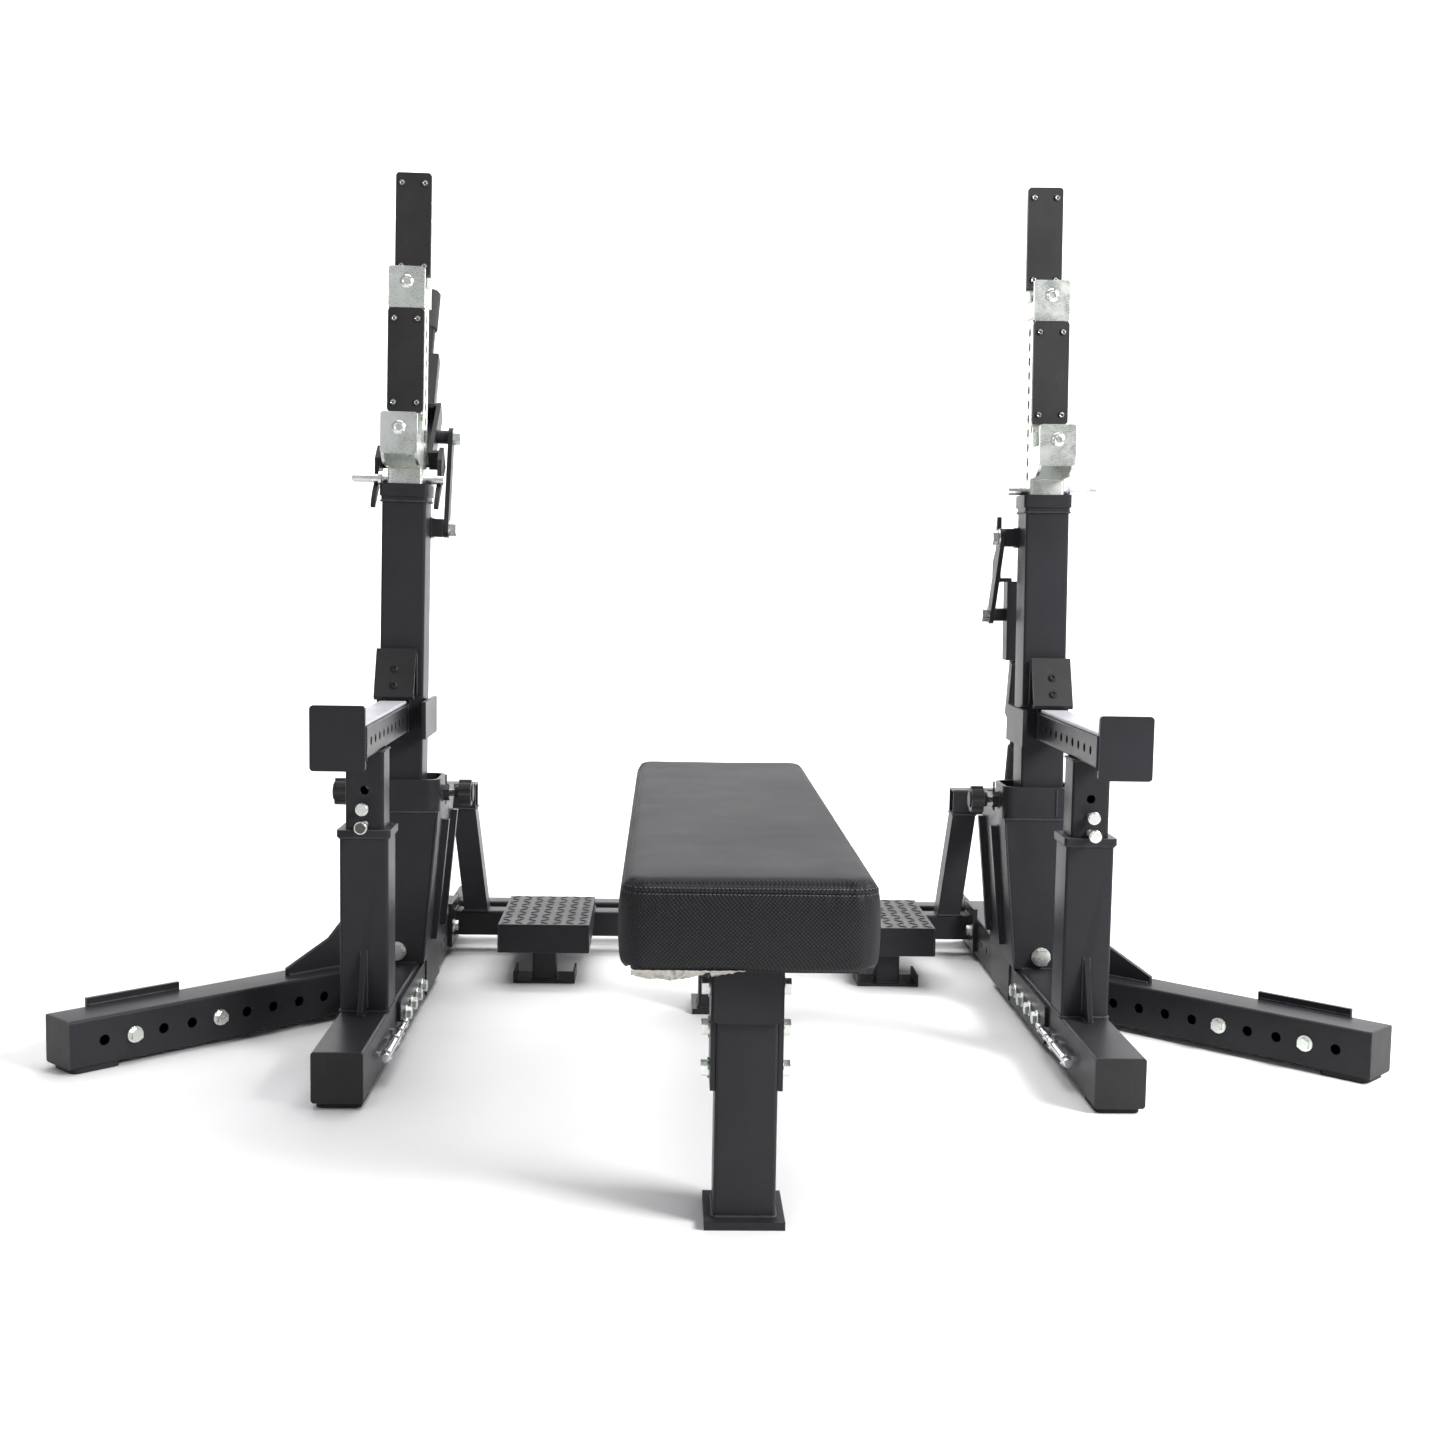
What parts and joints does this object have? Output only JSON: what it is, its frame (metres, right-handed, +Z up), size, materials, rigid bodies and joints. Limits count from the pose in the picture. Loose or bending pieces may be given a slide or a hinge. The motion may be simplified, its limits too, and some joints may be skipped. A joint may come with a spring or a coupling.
{
  "type": "olympic bench press",
  "caption": "Competition bench press rack: flat bench, telescoping uprights with double bar hooks and rollers, jack levers, safety arms and spotter platforms.",
  "frame": {"origin": "floor level under the middle of the whole object, between the front of the pad and the back of the base rails", "axes": "+X to the right seen from the foot end of the bench, +Y to the back of the rack, +Z up"},
  "size_m": [2.1152, 1.673, 1.4642],
  "materials": {
    "powder_coat": "satin black powder coat",
    "zinc_plate": "bright zinc plate",
    "chrome": "polished",
    "rubber": "matte",
    "black_plastic": "satin",
    "liner": "matte",
    "board": "dark backing cloth on board",
    "vinyl": "grained vinyl"
  },
  "bodies": {
    "frame": {"base_rail_left": "powder_coat", "base_rail_right": "powder_coat", "tube_caps": "black_plastic", "rubber_feet": "rubber", "front_post_left": "powder_coat", "front_post_right": "powder_coat", "housing_left": "powder_coat", "housing_right": "powder_coat", "stabiliser_leg_left": "powder_coat", "stabiliser_leg_right": "powder_coat", "rear_hoop": "powder_coat", "rear_crossmember": "powder_coat", "frame_bolts": "zinc_plate", "platform_left": "powder_coat", "platform_right": "powder_coat", "splice_plates": "powder_coat", "spare_pins": "chrome", "pin_clips": "chrome", "pivot_bolts": "zinc_plate"},
    "column_left": {"column_left": "powder_coat"},
    "link_left": {"link_left": "powder_coat"},
    "lever_left": {"lever_left": "powder_coat", "grip_left": "rubber"},
    "upright_left": {"inner_tube_left": "zinc_plate", "hooks_left": "zinc_plate", "hook_plates_left": "black_plastic", "hook_screws_left": "zinc_plate"},
    "roller_upper_left": {"roller_upper_left": "chrome"},
    "roller_lower_left": {"roller_lower_left": "chrome"},
    "lock_pin_left": {"lock_pin_left": "zinc_plate"},
    "knob_inner_left": {"knob_inner_left": "black_plastic"},
    "knob_outer_left": {"knob_outer_left": "black_plastic"},
    "safety_arm_left": {"safety_arm_left": "powder_coat", "arm_guard_left": "black_plastic", "arm_liner_left": "liner", "arm_bolts_left": "zinc_plate"},
    "column_right": {"column_right": "powder_coat"},
    "link_right": {"link_right": "powder_coat"},
    "lever_right": {"lever_right": "powder_coat", "grip_right": "rubber"},
    "upright_right": {"inner_tube_right": "zinc_plate", "hooks_right": "zinc_plate", "hook_plates_right": "black_plastic", "hook_screws_right": "zinc_plate"},
    "roller_upper_right": {"roller_upper_right": "chrome"},
    "roller_lower_right": {"roller_lower_right": "chrome"},
    "lock_pin_right": {"lock_pin_right": "zinc_plate"},
    "knob_inner_right": {"knob_inner_right": "black_plastic"},
    "knob_outer_right": {"knob_outer_right": "black_plastic"},
    "safety_arm_right": {"safety_arm_right": "powder_coat", "arm_guard_right": "black_plastic", "arm_liner_right": "liner", "arm_bolts_right": "zinc_plate"},
    "bench": {"bench_frame": "powder_coat", "pad_board": "board", "bench_pad": "vinyl", "bench_bolts": "zinc_plate"}
  },
  "joints": [
    {"name": "column_tilt_left", "type": "hinge", "parent": "frame", "child": "column_left", "pos_m": [-0.571, 0.2595, 0.107], "axis": [0, 1, 0], "range_deg": [-0.7, 1]},
    {"name": "upright_height_left", "type": "slide", "parent": "column_left", "child": "upright_left", "axis": [0.0131, 0, 0.9999], "range_m": [0, 0.3]},
    {"name": "lock_pin_pull_left", "type": "slide", "parent": "upright_left", "child": "lock_pin_left", "axis": [-0.9999, 0, 0.0131], "range_m": [0, 0.17]},
    {"name": "roller_upper_spin_left", "type": "hinge", "parent": "upright_left", "child": "roller_upper_left", "pos_m": [-0.5558, 0.2595, 1.2679], "axis": [0, 1, 0], "continuous": true},
    {"name": "roller_lower_spin_left", "type": "hinge", "parent": "upright_left", "child": "roller_lower_left", "pos_m": [-0.5591, 0.1895, 1.01592], "axis": [0, 1, 0], "continuous": true},
    {"name": "link_swing_left", "type": "hinge", "parent": "column_left", "child": "link_left", "pos_m": [-0.56126, 0.3085, 0.85094], "axis": [0.9999, 0, -0.0131], "range_deg": [-130, 0]},
    {"name": "lever_turn_left", "type": "hinge", "parent": "link_left", "child": "lever_left", "pos_m": [-0.55912, 0.35536, 1.01434], "axis": [0.9999, 0, -0.0131], "range_deg": [0, 13]},
    {"name": "knob_inner_travel_left", "type": "slide", "parent": "frame", "child": "knob_inner_left", "axis": [1, 0, 0], "range_m": [-0.0045, 0.0065]},
    {"name": "knob_outer_travel_left", "type": "slide", "parent": "frame", "child": "knob_outer_left", "axis": [1, 0, 0], "range_m": [-0.0045, 0.0065]},
    {"name": "safety_arm_height_left", "type": "slide", "parent": "frame", "child": "safety_arm_left", "axis": [0, 0, 1], "range_m": [0, 0.05]},
    {"name": "column_tilt_right", "type": "hinge", "parent": "frame", "child": "column_right", "pos_m": [0.571, 0.2595, 0.107], "axis": [0, -1, 0], "range_deg": [-0.7, 1]},
    {"name": "upright_height_right", "type": "slide", "parent": "column_right", "child": "upright_right", "axis": [-0.0131, 0, 0.9999], "range_m": [0, 0.3]},
    {"name": "lock_pin_pull_right", "type": "slide", "parent": "upright_right", "child": "lock_pin_right", "axis": [0.9999, 0, 0.0131], "range_m": [0, 0.17]},
    {"name": "roller_upper_spin_right", "type": "hinge", "parent": "upright_right", "child": "roller_upper_right", "pos_m": [0.5558, 0.2595, 1.2679], "axis": [0, 1, 0], "continuous": true},
    {"name": "roller_lower_spin_right", "type": "hinge", "parent": "upright_right", "child": "roller_lower_right", "pos_m": [0.5591, 0.1895, 1.01592], "axis": [0, 1, 0], "continuous": true},
    {"name": "link_swing_right", "type": "hinge", "parent": "column_right", "child": "link_right", "pos_m": [0.56126, 0.3085, 0.85094], "axis": [0.9999, 0, 0.0131], "range_deg": [0, 130]},
    {"name": "lever_turn_right", "type": "hinge", "parent": "link_right", "child": "lever_right", "pos_m": [0.56311, 0.40356, 0.71001], "axis": [0.9999, 0, 0.0131], "range_deg": [0, 13]},
    {"name": "knob_inner_travel_right", "type": "slide", "parent": "frame", "child": "knob_inner_right", "axis": [-1, 0, 0], "range_m": [-0.0045, 0.0065]},
    {"name": "knob_outer_travel_right", "type": "slide", "parent": "frame", "child": "knob_outer_right", "axis": [-1, 0, 0], "range_m": [-0.0045, 0.0065]},
    {"name": "safety_arm_height_right", "type": "slide", "parent": "frame", "child": "safety_arm_right", "axis": [0, 0, 1], "range_m": [0, 0.05]},
    {"name": "bench_pull_out", "type": "slide", "parent": "frame", "child": "bench", "axis": [0, 1, 0], "range_m": [-0.6, 0]}
  ],
  "couplings": [
    {"joint": "knob_inner_travel_left", "follows": "column_tilt_left", "m_per_rad": 0.275},
    {"joint": "knob_outer_travel_left", "follows": "column_tilt_left", "m_per_rad": 0.275},
    {"joint": "knob_inner_travel_right", "follows": "column_tilt_right", "m_per_rad": 0.275},
    {"joint": "knob_outer_travel_right", "follows": "column_tilt_right", "m_per_rad": 0.275}
  ]
}
